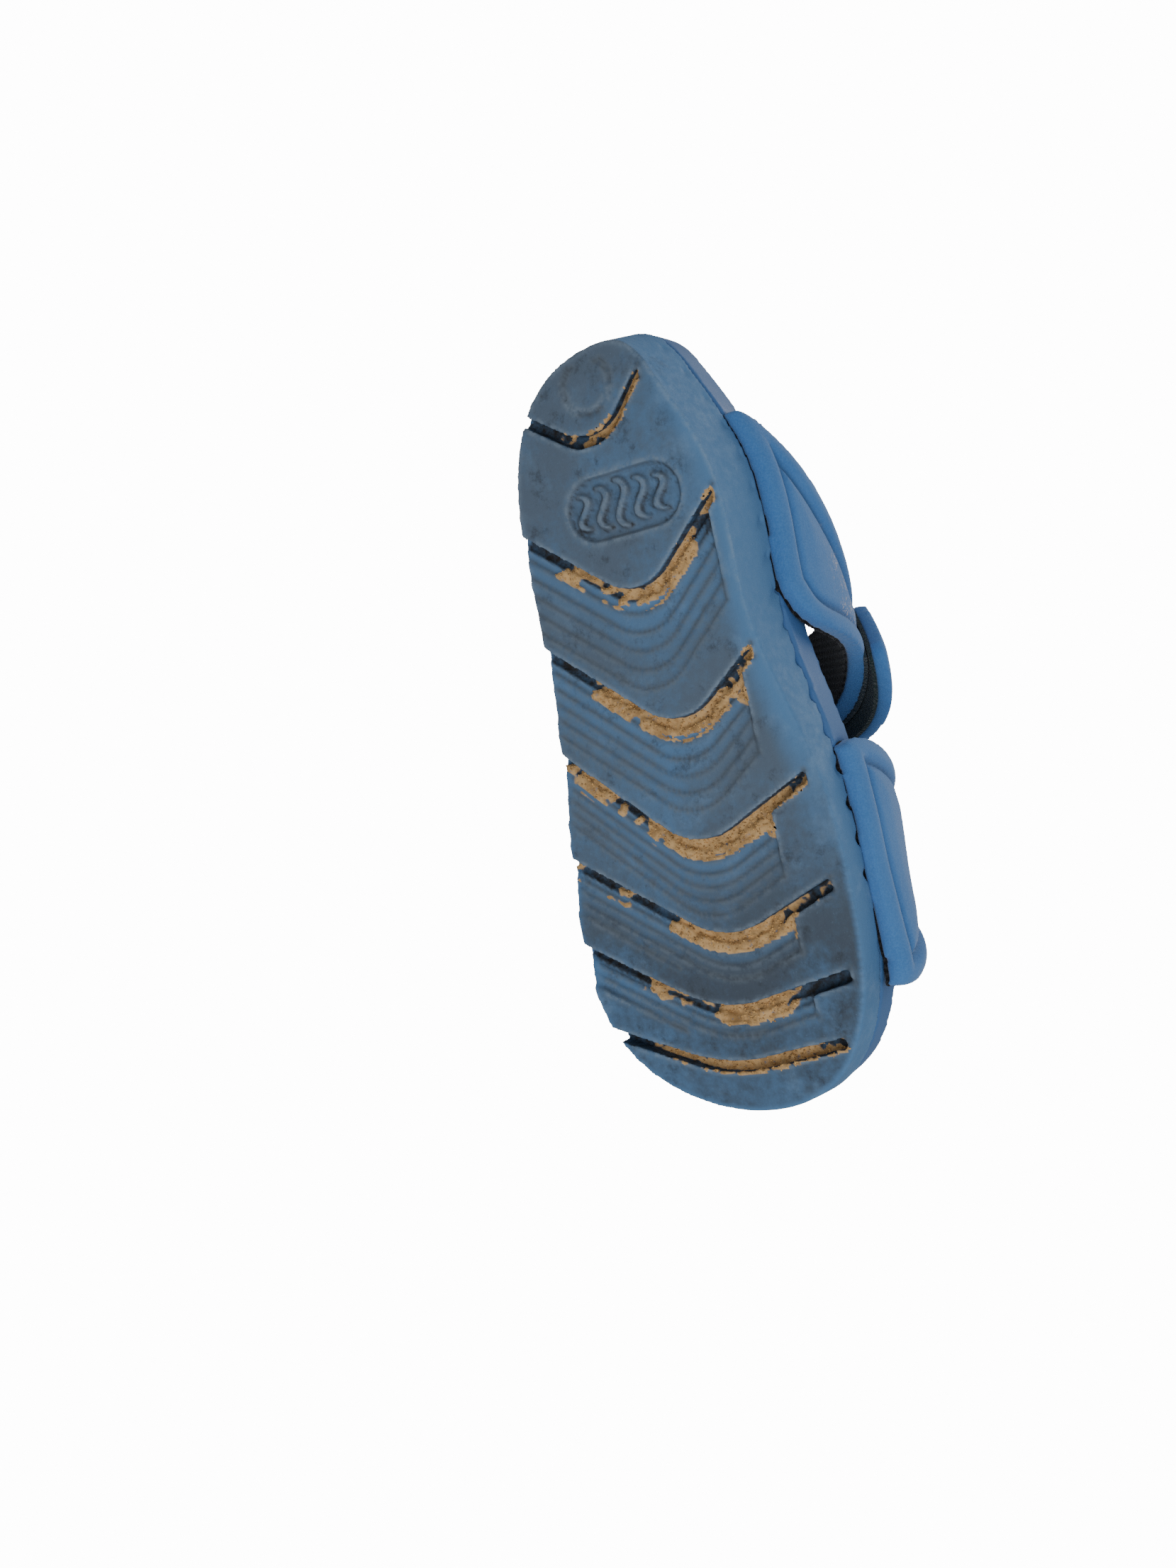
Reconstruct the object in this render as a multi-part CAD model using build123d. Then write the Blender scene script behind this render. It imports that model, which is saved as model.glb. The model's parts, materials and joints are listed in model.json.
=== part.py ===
from build123d import *
import os
from math import cos, hypot, radians, sin, sqrt, tan

# Child's strappy swim sandal, right foot.
# Frame in millimetres: +X to the toe, +Y to the medial side, +Z up, sole on the ground.

# ---- sole sizes
SOLE_LENGTH = 208.0
FOREFOOT_WIDTH = 83.0
HEEL_WIDTH = 67.0
OUTSOLE_HEEL = 16.5
OUTSOLE_FOREFOOT = 10.0
MIDSOLE_WALL = 11.5
TOE_SPRING = 8.0
HEEL_LIFT = 2.5
BEVEL_HEEL = 4.5
BEVEL_FOREFOOT = 1.6
MIDSOLE_SETBACK = 0.5
MIDSOLE_LEAN = 1.6
FOOTBED_RIM = 5.5
FOOTBED_DEPTH = 5.0
LINER_THICKNESS = 2.6
LINER_GAP = 0.3

# ---- tread sizes
GROOVE_WIDTH = 3.4
GROOVE_DEPTH = 3.6
TERRACE_DEPTH = 2.3
TERRACE_LATERAL_END = -25.0
CHEVRON_ROUND = 11.0
MEDALLION_LENGTH = 34.0
MEDALLION_WIDTH = 17.0
MEDALLION_DEPTH = 1.0
DISC_RADIUS = 7.5
DISC_DEPTH = 0.5
WAVE_COUNT = 5
WAVE_WIDTH = 1.3
NOTCH_PITCH = 9.0
NOTCH_RADIUS = 1.6

# ---- upper sizes
INSTEP_HEIGHT = 80.0
TOE_BAND_HEIGHT = 50.0
SKIN = 1.2
FOAM = 3.0
LINING = 0.8
WALL_PROUD = 0.7
BULGE_REAR = 5.2
BULGE_FRONT = 2.6
GLUE_GAP = 0.2

# ---- closure sizes
LOOP_PILE = 1.0
HOOK_PILE = 1.0
CLOSURE_GAP = 0.3
STRAP_SKIN = 1.0
STRAP_FOAM = 2.4
STRAP_HINGE_Y = 27.0
STRAP_FOLD_GAP = 0.5
STRAP_CORNER = 4.5
QUARTER_TOP_Y = -6.0
PATCH_INSET = 4.0

HALF = SOLE_LENGTH / 2
FORE = FOREFOOT_WIDTH / 2
HEEL = HEEL_WIDTH / 2
UPPER = SKIN + FOAM + LINING
REACH = 80.0

# Plan of the parting line: share of the half length, share of a half width, which width.
PLAN = (
    (-1.000, -0.12, HEEL), (-0.885, 0.69, HEEL), (-0.635, 1.00, HEEL), (-0.240, 1.03, HEEL),
    (0.115, 0.87, FORE), (0.480, 0.95, FORE), (0.790, 0.83, FORE), (0.950, 0.41, FORE),
    (1.000, -0.10, FORE), (0.940, -0.60, FORE), (0.750, -0.94, FORE), (0.460, -1.05, FORE),
    (0.115, -0.99, FORE), (-0.240, -1.01, HEEL), (-0.600, -0.97, HEEL), (-0.865, -0.63, HEEL),
)

# Each chevron groove: corner of the V, medial end, lateral end, terraces ahead of it, their pitch.
CHEVRONS = (
    ((-74.1, 2.6), (-93.0, 29.0), (-91.5, -13.5), 0, 0.0),
    ((-33.0, -1.0), (-64.0, 38.0), (-57.0, -27.5), 5, 4.9),
    ((1.8, -4.6), (-34.5, 39.0), (-16.5, -29.0), 5, 4.4),
    ((32.8, -2.5), (-7.0, 41.0), (17.0, -36.0), 5, 3.5),
    ((57.0, -5.2), (23.5, 43.5), (44.0, -37.0), 4, 3.3),
    ((75.0, 0.8), (49.0, 43.0), (67.4, -36.5), 3, 3.0),
    ((89.5, 3.6), (74.0, 40.0), (84.8, -30.5), 0, 0.0),
)


def blend(x, x_from, x_to, value_from, value_to):
    """Value that eases from one to the other between two stations."""
    t = min(1.0, max(0.0, (x - x_from) / (x_to - x_from)))
    return value_from + (value_to - value_from) * t * t * (3 - 2 * t)


def plan_point(index):
    along, across, width = PLAN[index % len(PLAN)]
    return Vector(along * HALF, across * width, 0)


def plan_outline(inset_heel, inset_toe, z=0.0):
    """Closed sole outline, moved inwards, as an edge at height z."""
    points = []
    for index in range(len(PLAN)):
        here = plan_point(index)
        along = (plan_point(index + 1) - plan_point(index - 1)).normalized()
        inward = Vector(along.Y, -along.X, 0)
        inset = blend(here.X, -0.5 * HALF, 0.5 * HALF, inset_heel, inset_toe)
        moved = here + inward * inset
        points.append((moved.X, moved.Y, z))
    return Spline(*points, periodic=True)


def plan_face(inset_heel, inset_toe, z=0.0):
    return make_face(plan_outline(inset_heel, inset_toe, z))


EDGE = plan_outline(0, 0)
EDGE_POINTS = [EDGE @ (step / 360) for step in range(361)]


def edge_y(x, side):
    """Distance from the centre plane to the sole's edge at a station."""
    best = 0.0
    for a, b in zip(EDGE_POINTS, EDGE_POINTS[1:]):
        if (a.X - x) * (b.X - x) <= 0 and a.X != b.X:
            y = a.Y + (b.Y - a.Y) * (x - a.X) / (b.X - a.X)
            if y * side > 0:
                best = max(best, abs(y))
    return best


TOE_BREAK = 0.42 * HALF
HEEL_BREAK = -0.72 * HALF


def arc_rise(run, span, rise):
    """Height of an arc that leaves the ground tangentially and gains rise over span."""
    radius = (span * span + rise * rise) / (2 * rise)
    return radius - sqrt(radius * radius - min(run, span) ** 2)


def bottom_z(x):
    if x > TOE_BREAK:
        return arc_rise(x - TOE_BREAK, HALF - TOE_BREAK, TOE_SPRING)
    if x < HEEL_BREAK:
        return arc_rise(HEEL_BREAK - x, HALF + HEEL_BREAK, HEEL_LIFT)
    return 0.0


def parting_z(x):
    stack = blend(x, -0.55 * HALF, 0.45 * HALF, OUTSOLE_HEEL, OUTSOLE_FOREFOOT)
    return stack + 0.9 * bottom_z(x)


def rim_z(x):
    return parting_z(x) + MIDSOLE_WALL


def floor_z(x):
    return rim_z(x) - FOOTBED_DEPTH


def liner_z(x):
    return floor_z(x) + LINER_THICKNESS


def height_curve(height):
    stations = [-1.15 + 2.3 * step / 12 for step in range(13)]
    return Spline(*[(share * HALF, 0, height(share * HALF)) for share in stations])


def side_slab(lower, upper):
    """Solid between two side curves, as wide as the sole and more."""
    bottom = height_curve(lower)
    top = height_curve(upper)
    ends = Line(bottom @ 0, top @ 0) + Line(bottom @ 1, top @ 1)
    return extrude(make_face(bottom + top + ends), amount=REACH, dir=(0, 1, 0), both=True)


def ground_slab():
    """Everything from the tread's rolling profile up to the parting line."""
    end = 1.15 * HALF
    toe = TangentArc((TOE_BREAK, 0, 0), (end, 0, TOE_SPRING * 1.45), tangent=(1, 0, 0))
    heel = TangentArc((HEEL_BREAK, 0, 0), (-end, 0, HEEL_LIFT * 2.2), tangent=(-1, 0, 0))
    flat = Line((HEEL_BREAK, 0, 0), (TOE_BREAK, 0, 0))
    top = height_curve(parting_z)
    ends = Line(heel @ 1, top @ 0) + Line(toe @ 1, top @ 1)
    return extrude(make_face(flat + toe + heel + top + ends), amount=REACH, dir=(0, 1, 0), both=True)


# ---------------------------------------------------------------- tread

def chevron_line(corner, medial, lateral):
    """V across the sole with a rounded corner that points to the toe."""
    first = Vector(*medial, 0) - Vector(*corner, 0)
    second = Vector(*lateral, 0) - Vector(*corner, 0)
    half_turn = radians(180 - first.get_angle(second)) / 2
    return FilletPolyline(medial, corner, lateral, radius=CHEVRON_ROUND / tan(half_turn))


def chevron_band(line, width, depth):
    """Cutter from the V forward by width, depth deep in the tread at the corner."""
    ahead = Pos(width, 0, 0) * line
    face = make_face(line + ahead + Line(line @ 0, ahead @ 0) + Line(line @ 1, ahead @ 1))
    apex = line @ 0.5
    return Pos(0, 0, -1) * extrude(face, amount=depth + 1 + bottom_z(apex.X))


def chevron_cutters():
    cutters = []
    medial_side = Pos(0, TERRACE_LATERAL_END + REACH / 2, 0) * Box(3 * HALF, REACH, 60)
    for corner, medial, lateral, terraces, pitch in CHEVRONS:
        line = chevron_line(corner, medial, lateral)
        cutters.append(chevron_band(line, GROOVE_WIDTH, GROOVE_DEPTH))
        for step in range(terraces):
            depth = TERRACE_DEPTH * (1 - step / terraces)
            width = GROOVE_WIDTH + pitch * (step + 0.7)
            cutters.append(chevron_band(line, width, depth) & medial_side)
    return cutters


def medallion():
    """Shallow rounded recess in the heel pad with raised wave lines, as one cutter."""
    centre_x = -59.0
    recess = Pos(centre_x, -2, 0) * extrude(Rot(0, 0, 90) * SlotOverall(MEDALLION_LENGTH, MEDALLION_WIDTH), MEDALLION_DEPTH)
    pitch = MEDALLION_LENGTH / (WAVE_COUNT + 1)
    for index in range(WAVE_COUNT):
        y = -2 + (index - (WAVE_COUNT - 1) / 2) * pitch
        reach = MEDALLION_WIDTH / 2 - 2.2 - 0.9 * abs(index - (WAVE_COUNT - 1) / 2)
        swing = 1.6
        wave = Spline(*[(centre_x + s * reach, y + swing * sin(s * 3.6), 0) for s in (-1, -0.5, 0, 0.5, 1)])
        ahead = Pos(0, WAVE_WIDTH, 0) * wave
        face = make_face(wave + ahead + Line(wave @ 0, ahead @ 0) + Line(wave @ 1, ahead @ 1))
        recess -= extrude(face, MEDALLION_DEPTH)
    return Pos(0, 0, -0.001) * recess


def heel_disc():
    """Faint round ring moulded in the heel pad's tip."""
    ring = Cylinder(DISC_RADIUS, 2 * DISC_DEPTH) - Cylinder(DISC_RADIUS - 1.0, 4 * DISC_DEPTH)
    return Pos(-0.87 * HALF, 2, bottom_z(-0.87 * HALF)) * ring


def edge_notches():
    """Small slanted flutes in the lateral bevel of the rear half."""
    notches = []
    outline = plan_outline(0.6, 0.6, OUTSOLE_HEEL * 0.72)
    count = int(0.33 * outline.length / NOTCH_PITCH)
    for index in range(count):
        place = 0.995 - (index + 0.5) * NOTCH_PITCH / outline.length
        here = outline @ place
        along = outline % place
        flute = Cylinder(NOTCH_RADIUS, OUTSOLE_HEEL * 0.5)
        turn = Plane(origin=here, x_dir=(along.Y, -along.X, 0), z_dir=(along.X * 0.6, along.Y * 0.6, 0.8))
        notches.append(turn * flute)
    return notches


def outsole():
    wall = loft([plan_face(BEVEL_HEEL, BEVEL_FOREFOOT, -1), plan_face(-0.4, 0, OUTSOLE_HEEL + TOE_SPRING)])
    body = wall & ground_slab()
    body = body - chevron_cutters()
    body = body - edge_notches()
    return body - medallion() - heel_disc()


# ---------------------------------------------------------------- midsole and liner

def midsole(strap_walls):
    low = plan_face(MIDSOLE_SETBACK, MIDSOLE_SETBACK, OUTSOLE_FOREFOOT - 3)
    high = plan_face(MIDSOLE_LEAN, MIDSOLE_LEAN, OUTSOLE_HEEL + TOE_SPRING + MIDSOLE_WALL)
    body = loft([low, high]) & side_slab(parting_z, rim_z)
    basin = extrude(plan_face(FOOTBED_RIM, FOOTBED_RIM, 0), amount=REACH)
    body -= basin & side_slab(floor_z, lambda x: REACH)
    return body - strap_walls


def footbed_liner(strap_walls):
    inset = FOOTBED_RIM + LINER_GAP
    sheet = extrude(plan_face(inset, inset, 0), amount=REACH) & side_slab(floor_z, liner_z)
    return sheet - strap_walls


# ---------------------------------------------------------------- upper

SADDLE_X = -12.0
TOE_X = 74.0


def crown_z(x):
    """Height of the foot's ridge, falling from the instep to the toes."""
    return INSTEP_HEIGHT + (TOE_BAND_HEIGHT - INSTEP_HEIGHT) * (x - SADDLE_X) / (TOE_X - SADDLE_X)


def spring_z(x):
    return rim_z(x) + 1.0


def arch_section(x, lateral, top, medial):
    """Closed section of the foot-shaped tunnel at a station, grown by three offsets."""
    bulge = blend(x, -0.3 * HALF, 0.4 * HALF, BULGE_REAR, BULGE_FRONT)
    z0 = spring_z(x)
    rise = crown_z(x) + top - z0
    points = []
    for side, grow in ((-1, lateral), (1, medial)):
        base = edge_y(x, side) + WALL_PROUD + grow
        wide = edge_y(x, side) + bulge + grow
        low = (x, side * base, parting_z(x) - 4)
        hip = (x, side * wide, z0 + 4)
        shoulder = (x, side * wide * cos(radians(42)), z0 + rise * sin(radians(42)))
        points.append([low, hip, shoulder])
    crown = (x, 1.5, z0 + rise)
    outer = Spline(*points[0], crown, *reversed(points[1]))
    return make_face(outer + Line(outer @ 0, outer @ 1))


def tunnel(lateral, top, medial):
    stations = [-0.80, -0.58, -0.36, -0.14, 0.08, 0.30, 0.52, 0.80]
    return loft([arch_section(share * HALF, lateral, top, medial) for share in stations])


def side_prism(edges, y_from, y_to):
    """Side-view outline in the XZ plane, swept across the sandal between two y."""
    face = edges if isinstance(edges, Face) else make_face(edges)
    return Pos(0, y_from, 0) * extrude(face, amount=y_to - y_from, dir=(0, 1, 0))


def xz(*points):
    return [(x, 0, z) for x, z in points]


def quarter_outline():
    """Wing that leaves the heel half of the sole and sweeps up and forward to the instep."""
    top = INSTEP_HEIGHT + 12
    rear = Spline(*xz((-71, 12), (-76, 18), (-70, 24.5), (-43, 46), (-21, 69), (-8, top)))
    front = Spline(*xz((-33, 8), (-31, 14), (-23, 18.5), (-15, 33), (-6.5, 53), (6, 65), (19, top)))
    return rear + front + Line(rear @ 0, front @ 0) + Line(rear @ 1, front @ 1)


def strap_outline():
    """Free end low on the lateral side, then over the instep beside the wing's front edge."""
    top = INSTEP_HEIGHT + 18
    corner = (-9.5, 50.5)
    tip = (-24.5, 71)
    end = Line(*xz(corner, tip))
    rear = Spline(*xz(tip, (-15, 79), (-7, top)))
    front = Spline(*xz(corner, (2, 55.5), (13, 66), (22, top)))
    face = make_face(end + rear + front + Line(rear @ 1, front @ 1)).face()
    corners = [face.vertices().sort_by_distance(point)[0] for point in xz(corner, tip)]
    return face.fillet_2d(STRAP_CORNER, corners)


def medial_strap_outline():
    """Strap inboard of the fold: widens from the wing below it to the run over the instep."""
    top = INSTEP_HEIGHT + 18
    rear = Spline(*xz((-40, 50), (-23.5, 67), (-14, 80), (-7, top)))
    front = Spline(*xz((-8, 50), (2, 61), (13, 69), (22, top)))
    return rear + front + Line(rear @ 0, front @ 0) + Line(rear @ 1, front @ 1)


def band_outline():
    """Forefoot band, broad at the sole and narrower over the toes' knuckles."""
    top = INSTEP_HEIGHT
    rear = Spline(*xz((17, 8.5), (12.2, 14.5), (13.5, 24), (18.5, 36), (28, top)))
    front = Spline(*xz((71, 8.5), (75.6, 15.5), (74, 23), (69.5, 34), (60, top)))
    return rear + front + Line(rear @ 0, front @ 0) + Line(rear @ 1, front @ 1)


def largest(shape):
    """The main solid of a trimmed shell, without loose trimmings."""
    return max(shape.solids(), key=lambda solid: solid.volume)


def build():
    surfaces = [tunnel(-d, -d, -d) for d in (0, SKIN, SKIN + FOAM, UPPER)]
    layers = {
        "skin": surfaces[0] - surfaces[1],
        "foam": surfaces[1] - surfaces[2],
        "lining": surfaces[2] - surfaces[3],
    }
    seat = side_slab(parting_z, lambda x: REACH * 2)
    lateral_wing = side_prism(quarter_outline(), -REACH, QUARTER_TOP_Y) & seat
    medial_wing = side_prism(quarter_outline(), STRAP_HINGE_Y + STRAP_FOLD_GAP / 2, REACH) & seat
    band = side_prism(band_outline(), -REACH, REACH) & seat
    parts = {}
    for layer, shell in layers.items():
        parts["lateral_quarter_" + layer] = largest(shell & lateral_wing)
        parts["medial_quarter_" + layer] = largest(shell & medial_wing)
        parts["forefoot_band_" + layer] = largest(shell & band)

    lasting = -UPPER - GLUE_GAP
    inside = tunnel(lasting, lasting, lasting)
    strap_walls = [side_prism(outline, -REACH, REACH) - inside for outline in (quarter_outline(), band_outline())]
    parts["outsole"] = outsole()
    parts["midsole"] = midsole(strap_walls)
    parts["footbed_liner"] = footbed_liner(strap_walls)

    # Closure: pile on the wing, hooks under the strap, then the strap's foam and skin.
    hook_low = LOOP_PILE + CLOSURE_GAP
    strap_low = hook_low + HOOK_PILE
    foam_top = strap_low + STRAP_FOAM
    strap_top = foam_top + STRAP_SKIN
    loop_top = tunnel(LOOP_PILE, LOOP_PILE, LOOP_PILE)
    hook_floor = tunnel(hook_low, hook_low, -UPPER)
    foam_floor = tunnel(strap_low, strap_low, -SKIN - STRAP_FOAM)
    skin_floor = tunnel(foam_top, foam_top, -SKIN)
    strap_face = tunnel(strap_top, strap_top, 0)
    fold = STRAP_HINGE_Y - STRAP_FOLD_GAP / 2
    reach = side_prism(strap_outline(), -REACH, 0) + side_prism(medial_strap_outline(), 0, fold)
    lateral_reach = side_prism(strap_outline(), -REACH, QUARTER_TOP_Y)
    open_reach = reach - Pos(0, QUARTER_TOP_Y + 0.5 - 2 * REACH, 0) * Box(4 * HALF, 4 * REACH, 4 * REACH)
    parts["instep_strap_skin"] = largest((strap_face - skin_floor) & reach)
    parts["instep_strap_foam"] = largest((skin_floor - foam_floor) & reach)
    parts["hook_patch"] = largest((foam_floor - hook_floor) & lateral_reach)
    parts["instep_strap_lining"] = largest((foam_floor - hook_floor) & open_reach)
    parts["loop_patch"] = largest((loop_top - surfaces[0]) & lateral_reach & lateral_wing)
    return parts


def main():
    os.makedirs("parts", exist_ok=True)
    parts = build()
    boxes = [part.bounding_box() for part in parts.values()]
    low = Vector(min(box.min.X for box in boxes), min(box.min.Y for box in boxes), 0)
    high = Vector(max(box.max.X for box in boxes), max(box.max.Y for box in boxes), 0)
    centre = Pos((low + high) * -0.5)
    for name, part in parts.items():
        export_step(centre * part, "parts/" + name + ".step")
    print("centred by", centre.position)


main()
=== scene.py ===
"""Child's strappy swim sandal: the visible pieces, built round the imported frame."""
import json
import logging
import math
from collections.abc import Callable, Iterable, Sequence
from dataclasses import dataclass
from enum import Enum

import bmesh
import bpy
import numpy as np
from mathutils import Matrix, Vector, noise
from mathutils.bvhtree import BVHTree
from mathutils.kdtree import KDTree


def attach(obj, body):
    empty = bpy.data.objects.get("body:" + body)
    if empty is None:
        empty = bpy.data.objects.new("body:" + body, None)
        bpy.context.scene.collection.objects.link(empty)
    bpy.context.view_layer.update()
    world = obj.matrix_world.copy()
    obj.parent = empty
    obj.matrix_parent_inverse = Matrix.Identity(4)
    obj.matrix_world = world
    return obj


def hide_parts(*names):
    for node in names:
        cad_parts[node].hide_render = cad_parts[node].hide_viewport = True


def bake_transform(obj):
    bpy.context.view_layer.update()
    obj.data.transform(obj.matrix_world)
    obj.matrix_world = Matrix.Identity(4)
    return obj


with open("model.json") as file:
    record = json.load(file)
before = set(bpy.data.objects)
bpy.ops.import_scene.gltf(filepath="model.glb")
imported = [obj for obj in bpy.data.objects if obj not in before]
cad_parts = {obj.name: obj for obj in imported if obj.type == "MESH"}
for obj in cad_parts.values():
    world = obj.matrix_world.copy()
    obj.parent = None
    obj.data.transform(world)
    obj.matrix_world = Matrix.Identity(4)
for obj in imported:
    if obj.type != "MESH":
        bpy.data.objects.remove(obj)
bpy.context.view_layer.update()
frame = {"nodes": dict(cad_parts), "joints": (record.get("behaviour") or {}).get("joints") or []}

logging.basicConfig(level=logging.INFO, format="%(message)s")
log = logging.getLogger("sandal")

MM = 0.001
GOLDEN_ANGLE = 2.39996
LOWEST_RAY = 0.12
RGB = tuple[float, float, float]


class Body(Enum):
    """The two rigid bodies that pieces ride on."""

    ROOT = "root"
    STRAP = "strap"


# ---------------------------------------------------------------- mesh tools


def cad_copy(name: str, nodes: Sequence[str]) -> bpy.types.Object:
    """Joins merged copies of CAD nodes into one new object.

    Args:
        name: name of the new object.
        nodes: CAD nodes to copy.

    Returns:
        The new object, linked to the scene.
    """
    joined = bmesh.new()
    for node in nodes:
        joined.from_mesh(frame["nodes"][node].data)
    bmesh.ops.remove_doubles(joined, verts=joined.verts, dist=0.002 * MM)
    mesh = bpy.data.meshes.new(name)
    joined.to_mesh(mesh)
    joined.free()
    return link(name, mesh)


def link(name: str, mesh: bpy.types.Mesh) -> bpy.types.Object:
    """Puts a mesh in the scene as an object at the origin."""
    piece = bpy.data.objects.new(name, mesh)
    bpy.context.scene.collection.objects.link(piece)
    return piece


def bake_modifiers(piece: bpy.types.Object) -> None:
    """Turns the object's modifiers into plain mesh and removes them."""
    graph = bpy.context.evaluated_depsgraph_get()
    mesh = bpy.data.meshes.new_from_object(piece.evaluated_get(graph))
    old = piece.data
    piece.modifiers.clear()
    piece.data = mesh
    mesh.name = piece.name
    bpy.data.meshes.remove(old)


def voxel_soften(piece: bpy.types.Object, voxel: float, rounds: int, factor: float = 0.5) -> None:
    """Remeshes the object evenly and rounds its edges.

    Args:
        piece: object to change.
        voxel: cell size in metres.
        rounds: smoothing rounds.
        factor: strength of each round.
    """
    remesh = piece.modifiers.new("even", "REMESH")
    remesh.mode = "VOXEL"
    remesh.voxel_size = voxel
    remesh.use_smooth_shade = True
    if rounds:
        smooth = piece.modifiers.new("soft", "SMOOTH")
        smooth.factor = factor
        smooth.iterations = rounds
    bake_modifiers(piece)


def points_of(mesh: bpy.types.Mesh) -> np.ndarray:
    """Vertex places as an array."""
    flat = np.empty(len(mesh.vertices) * 3)
    mesh.vertices.foreach_get("co", flat)
    return flat.reshape(-1, 3)


def normals_of(mesh: bpy.types.Mesh) -> np.ndarray:
    """Vertex normals as an array."""
    flat = np.empty(len(mesh.vertices) * 3, dtype=np.float32)
    mesh.vertex_normals.foreach_get("vector", flat)
    return flat.reshape(-1, 3).astype(float)


def move_points(mesh: bpy.types.Mesh, places: np.ndarray) -> None:
    """Writes vertex places back."""
    mesh.vertices.foreach_set("co", places.astype(np.float32).ravel())
    mesh.update()


def put_attribute(mesh: bpy.types.Mesh, name: str, values: np.ndarray) -> None:
    """Stores one number per vertex for a material to read."""
    layer = mesh.attributes.get(name) or mesh.attributes.new(name, "FLOAT", "POINT")
    layer.data.foreach_set("value", values.astype(np.float32))


def distance_to(places: np.ndarray, targets: Iterable[Vector]) -> np.ndarray:
    """Distance from each place to the nearest target point."""
    targets = list(targets)
    tree = KDTree(len(targets))
    for index, target in enumerate(targets):
        tree.insert(target, index)
    tree.balance()
    return np.array([tree.find(place)[2] for place in places])


def sharp_points(
    piece: bpy.types.Object, bend: float, spacing: float, convex: bool | None = None
) -> list[Vector]:
    """Points spread along the edges where the surface bends by more than an angle.

    Args:
        piece: object with merged vertices.
        bend: least angle between faces, in radians.
        spacing: distance between points, in metres.
        convex: True for outer corners only, False for inner corners only, None for both.

    Returns:
        The points.
    """
    work = bmesh.new()
    work.from_mesh(piece.data)
    found: list[Vector] = []
    for edge in work.edges:
        wanted = convex is None or convex == edge.is_convex
        if wanted and len(edge.link_faces) == 2 and edge.calc_face_angle(0.0) > bend:
            a, b = (vertex.co for vertex in edge.verts)
            steps = max(1, int((b - a).length / spacing))
            found += [a.lerp(b, step / steps) for step in range(steps + 1)]
    work.free()
    return found


def smoothstep(values: np.ndarray, low: float, high: float) -> np.ndarray:
    """0 below low, 1 above high, eased between."""
    t = np.clip((values - low) / (high - low), 0.0, 1.0)
    return t * t * (3.0 - 2.0 * t)


def cloud(places: np.ndarray, size: float, seed: float = 0.0) -> np.ndarray:
    """Smooth noise about zero with features of a given size in metres."""
    shift = Vector((seed * 7.1, seed * 3.7, seed * 5.3))
    return np.array([noise.noise(Vector(place) / size + shift) for place in places])


def plan_outline(places: np.ndarray, sectors: int = 360) -> list[Vector]:
    """Outermost points of a flat shape seen from below, one for each direction from its middle.

    Args:
        places: vertex places.
        sectors: how many directions.

    Returns:
        Points in the ground plane, in order round the shape.
    """
    plan = places[:, :2]
    middle = (plan.min(axis=0) + plan.max(axis=0)) / 2
    half = (plan.max(axis=0) - plan.min(axis=0)) / 2
    share = (plan - middle) / half
    sector = ((np.arctan2(share[:, 1], share[:, 0]) / (2 * math.pi) + 0.5) * sectors).astype(int) % sectors
    reach = np.linalg.norm(share, axis=1)
    found = []
    for index in range(sectors):
        inside = np.flatnonzero(sector == index)
        if len(inside):
            x, y = plan[inside[np.argmax(reach[inside])]]
            found.append(Vector((x, y, 0.0)))
    return found


def enclosure(
    mesh: bpy.types.Mesh, normals: np.ndarray, chosen: np.ndarray, reach: float, rays: int = 14
) -> np.ndarray:
    """How closed in each chosen vertex is: the share of rays from it that meet the mesh nearby.

    Args:
        mesh: mesh to look at.
        normals: its vertex normals.
        chosen: which vertices to measure; the others get 0.
        reach: ray length in metres.
        rays: rays per vertex, spread over the half space above the surface.

    Returns:
        A number from 0 to 1 for each vertex.
    """
    tree = BVHTree.FromPolygons([v.co for v in mesh.vertices], [tuple(p.vertices) for p in mesh.polygons])
    fan = []
    for index in range(rays):
        rise = LOWEST_RAY + (1 - LOWEST_RAY) * (index + 0.5) / rays
        spread = math.sqrt(1 - rise * rise)
        turn = index * GOLDEN_ANGLE
        fan.append(Vector((spread * math.cos(turn), spread * math.sin(turn), rise)))
    values = np.zeros(len(normals))
    for index in np.flatnonzero(chosen):
        up = Vector(normals[index])
        start = mesh.vertices[index].co + up * 0.1 * MM
        tilt = up.to_track_quat("Z", "Y")
        values[index] = sum(tree.ray_cast(start, tilt @ ray, reach)[0] is not None for ray in fan) / rays
    return values


# ---------------------------------------------------------------- geometry node tools


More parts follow.
